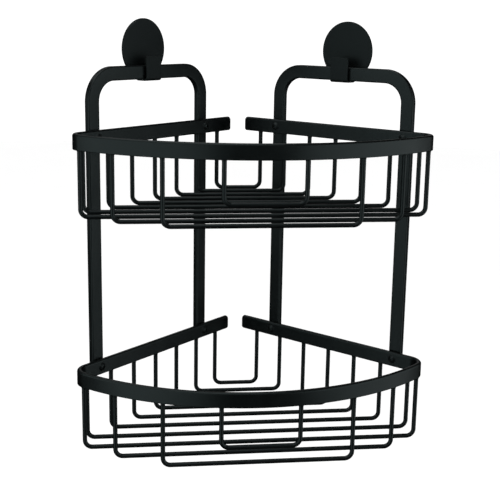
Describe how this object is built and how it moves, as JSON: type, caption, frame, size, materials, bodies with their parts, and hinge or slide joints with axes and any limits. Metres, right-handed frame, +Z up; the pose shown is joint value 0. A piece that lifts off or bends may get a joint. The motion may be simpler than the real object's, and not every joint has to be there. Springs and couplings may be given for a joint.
{
  "type": "corner shower caddy",
  "caption": "Two-tier corner shower caddy in black: flat-band rims with bent-wire baskets on two upright frames, lifted off round stick-on wall hooks.",
  "frame": {"origin": "under the middle of the caddy's plan, level with the underside of the lowest wires", "axes": "+X to the right, along the line between the two walls' hooks; -Y out into the room, away from the corner of the walls; +Z up"},
  "size_m": [0.31, 0.2208, 0.3732],
  "materials": {
    "coating": "black powder coat, satin",
    "screw": "blackened steel, satin",
    "adhesive": "acrylic foam adhesive, matte"
  },
  "bodies": {
    "wall_hooks": {"left_hook": "coating", "right_hook": "coating", "left_adhesive_pad": "adhesive", "right_adhesive_pad": "adhesive"},
    "caddy": {"left_frame": "coating", "right_frame": "coating", "lower_rim": "coating", "upper_rim": "coating", "lower_rim_screws": "screw", "upper_rim_screws": "screw", "lower_wire_01": "coating", "lower_wire_02": "coating", "lower_wire_03": "coating", "lower_wire_04": "coating", "lower_wire_05": "coating", "lower_wire_06": "coating", "lower_wire_07": "coating", "lower_wire_08": "coating", "lower_wire_09": "coating", "lower_wire_10": "coating", "lower_wire_11": "coating", "upper_wire_01": "coating", "upper_wire_02": "coating", "upper_wire_03": "coating", "upper_wire_04": "coating", "upper_wire_05": "coating", "upper_wire_06": "coating", "upper_wire_07": "coating", "upper_wire_08": "coating", "upper_wire_09": "coating", "upper_wire_10": "coating", "upper_wire_11": "coating"}
  },
  "joints": [
    {"name": "lift_off", "type": "slide", "parent": "wall_hooks", "child": "caddy", "axis": [0, 0, 1], "range_m": [0, 0.03]}
  ]
}
